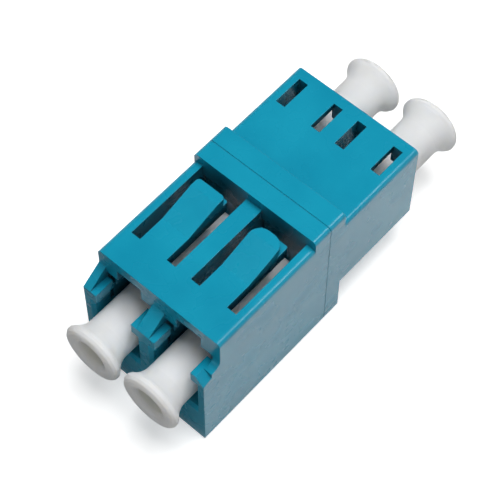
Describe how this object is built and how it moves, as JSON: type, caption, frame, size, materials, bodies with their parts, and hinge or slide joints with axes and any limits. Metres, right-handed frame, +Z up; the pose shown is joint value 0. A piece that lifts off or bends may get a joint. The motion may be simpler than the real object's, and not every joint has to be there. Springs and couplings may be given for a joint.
{
  "type": "fibre optic adapter",
  "caption": "Block-shaped fibre adapter that joins LC plugs end to end, with square ports side by side, a raised collar, sprung latch tongues and flared pull-off dust caps.",
  "frame": {"origin": "centre of the adapter in width and length, on its underside; y = 0 is the optical plane where the fibre ends meet", "axes": "+Y along the plugs' axes towards the rear ports, +Z up towards the latch side, +X to the right seen from the front ports"},
  "size_m": [0.0126, 0.0356, 0.0144],
  "materials": {
    "teal_plastic": "satin moulded",
    "white_cap_plastic": "soft, slightly translucent",
    "white_holder_plastic": "moulded",
    "ceramic": "polished"
  },
  "bodies": {
    "adapter": {"front_housing": "teal_plastic", "rear_housing": "teal_plastic", "front_sleeve_holder": "white_holder_plastic", "rear_sleeve_holder": "white_holder_plastic", "left_sleeve": "ceramic", "right_sleeve": "ceramic"},
    "front_left_cap": {"front_left_cap": "white_cap_plastic"},
    "front_right_cap": {"front_right_cap": "white_cap_plastic"},
    "rear_left_cap": {"rear_left_cap": "white_cap_plastic"},
    "rear_right_cap": {"rear_right_cap": "white_cap_plastic"}
  },
  "joints": [
    {"name": "front_left_cap_pull", "type": "slide", "parent": "adapter", "child": "front_left_cap", "axis": [0, -1, 0], "range_m": [0, 0.05]},
    {"name": "front_right_cap_pull", "type": "slide", "parent": "adapter", "child": "front_right_cap", "axis": [0, -1, 0], "range_m": [0, 0.05]},
    {"name": "rear_left_cap_pull", "type": "slide", "parent": "adapter", "child": "rear_left_cap", "axis": [0, 1, 0], "range_m": [0, 0.05]},
    {"name": "rear_right_cap_pull", "type": "slide", "parent": "adapter", "child": "rear_right_cap", "axis": [0, 1, 0], "range_m": [0, 0.05]}
  ]
}
